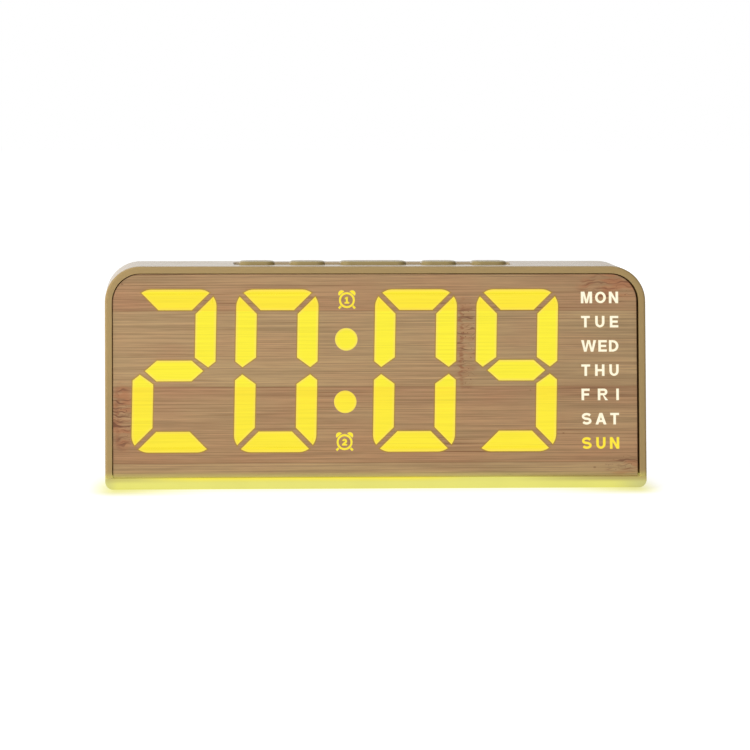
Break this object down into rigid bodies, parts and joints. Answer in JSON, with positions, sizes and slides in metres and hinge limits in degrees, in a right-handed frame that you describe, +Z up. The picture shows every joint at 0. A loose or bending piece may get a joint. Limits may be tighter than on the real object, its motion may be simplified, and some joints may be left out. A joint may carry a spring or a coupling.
{
  "type": "digital alarm clock",
  "caption": "Digital alarm clock with a leaning bamboo-look face, lit segment digits, weekday column, glowing base strip, press keys in the top and a rear cover with a battery door.",
  "frame": {"origin": "on the table, under the middle of the clock, level with the undersides of the feet", "axes": "+X to the right of someone reading the face, +Y from the face towards the rear cover, +Z up"},
  "size_m": [0.19, 0.048, 0.0792],
  "materials": {
    "tan_plastic": "satin moulded ABS, tan",
    "bamboo": "bamboo veneer, satin",
    "lit_yellow": "translucent light guide, lit yellow",
    "lit_white": "translucent light guide, lit warm white",
    "glow_base": "frosted translucent tray, lit yellow",
    "white_plastic": "white reflector plastic",
    "board_green": "glass-epoxy board with green solder mask",
    "black_plastic": "moulded black plastic",
    "foot_rubber": "dark rubber",
    "steel": "plated steel",
    "contact_brass": "spring brass",
    "ribbon_grey": "flat cable jacket"
  },
  "bodies": {
    "clock_case": {"main_housing": "tan_plastic", "rear_cover": "tan_plastic", "front_panel": "bamboo", "base_diffuser": "glow_base", "hours_tens_lens": "lit_yellow", "hours_units_lens": "lit_yellow", "minutes_tens_lens": "lit_yellow", "minutes_units_lens": "lit_yellow", "colon_lens": "lit_yellow", "weekday_lens": "lit_white", "display_reflector": "white_plastic", "display_board": "board_green", "display_screw_left": "steel", "display_screw_right": "steel", "set_switch": "black_plastic", "alarm_switch": "black_plastic", "snooze_switch": "black_plastic", "down_switch": "black_plastic", "up_switch": "black_plastic", "key_board": "board_green", "key_board_screw_left": "steel", "key_board_screw_right": "steel", "main_board": "board_green", "main_board_screw_left": "steel", "main_board_screw_right": "steel", "power_socket": "steel", "buzzer": "black_plastic", "coin_cell": "steel", "battery_contact_negative": "contact_brass", "battery_contact_positive": "contact_brass", "night_light_board": "white_plastic", "display_ribbon": "ribbon_grey", "key_ribbon": "ribbon_grey", "night_light_ribbon": "ribbon_grey", "foot_left_front": "foot_rubber", "foot_left_rear": "foot_rubber", "foot_right_front": "foot_rubber", "foot_right_rear": "foot_rubber", "base_screw_left_front": "steel", "base_screw_left_rear": "steel", "base_screw_right_front": "steel", "base_screw_right_rear": "steel", "rear_screw_left_low": "steel", "rear_screw_left_high": "steel", "rear_screw_right_low": "steel", "rear_screw_right_high": "steel"},
    "set_key_body": {"set_key": "tan_plastic", "set_plunger": "white_plastic"},
    "alarm_key_body": {"alarm_key": "tan_plastic", "alarm_plunger": "white_plastic"},
    "snooze_key_body": {"snooze_key": "tan_plastic", "snooze_plunger": "white_plastic"},
    "down_key_body": {"down_key": "tan_plastic", "down_plunger": "white_plastic"},
    "up_key_body": {"up_key": "tan_plastic", "up_plunger": "white_plastic"},
    "battery_door_body": {"battery_door": "tan_plastic"}
  },
  "joints": [
    {"name": "set_key_press", "type": "slide", "parent": "clock_case", "child": "set_key_body", "axis": [0, 0, -1], "range_m": [0, 0.0005], "stiffness_N_per_m": 2000},
    {"name": "alarm_key_press", "type": "slide", "parent": "clock_case", "child": "alarm_key_body", "axis": [0, 0, -1], "range_m": [0, 0.0005], "stiffness_N_per_m": 2000},
    {"name": "snooze_key_press", "type": "slide", "parent": "clock_case", "child": "snooze_key_body", "axis": [0, 0, -1], "range_m": [0, 0.0005], "stiffness_N_per_m": 2000},
    {"name": "down_key_press", "type": "slide", "parent": "clock_case", "child": "down_key_body", "axis": [0, 0, -1], "range_m": [0, 0.0005], "stiffness_N_per_m": 2000},
    {"name": "up_key_press", "type": "slide", "parent": "clock_case", "child": "up_key_body", "axis": [0, 0, -1], "range_m": [0, 0.0005], "stiffness_N_per_m": 2000},
    {"name": "battery_door_pull", "type": "slide", "parent": "clock_case", "child": "battery_door_body", "axis": [0, 1, 0], "range_m": [0, 0.012]}
  ]
}
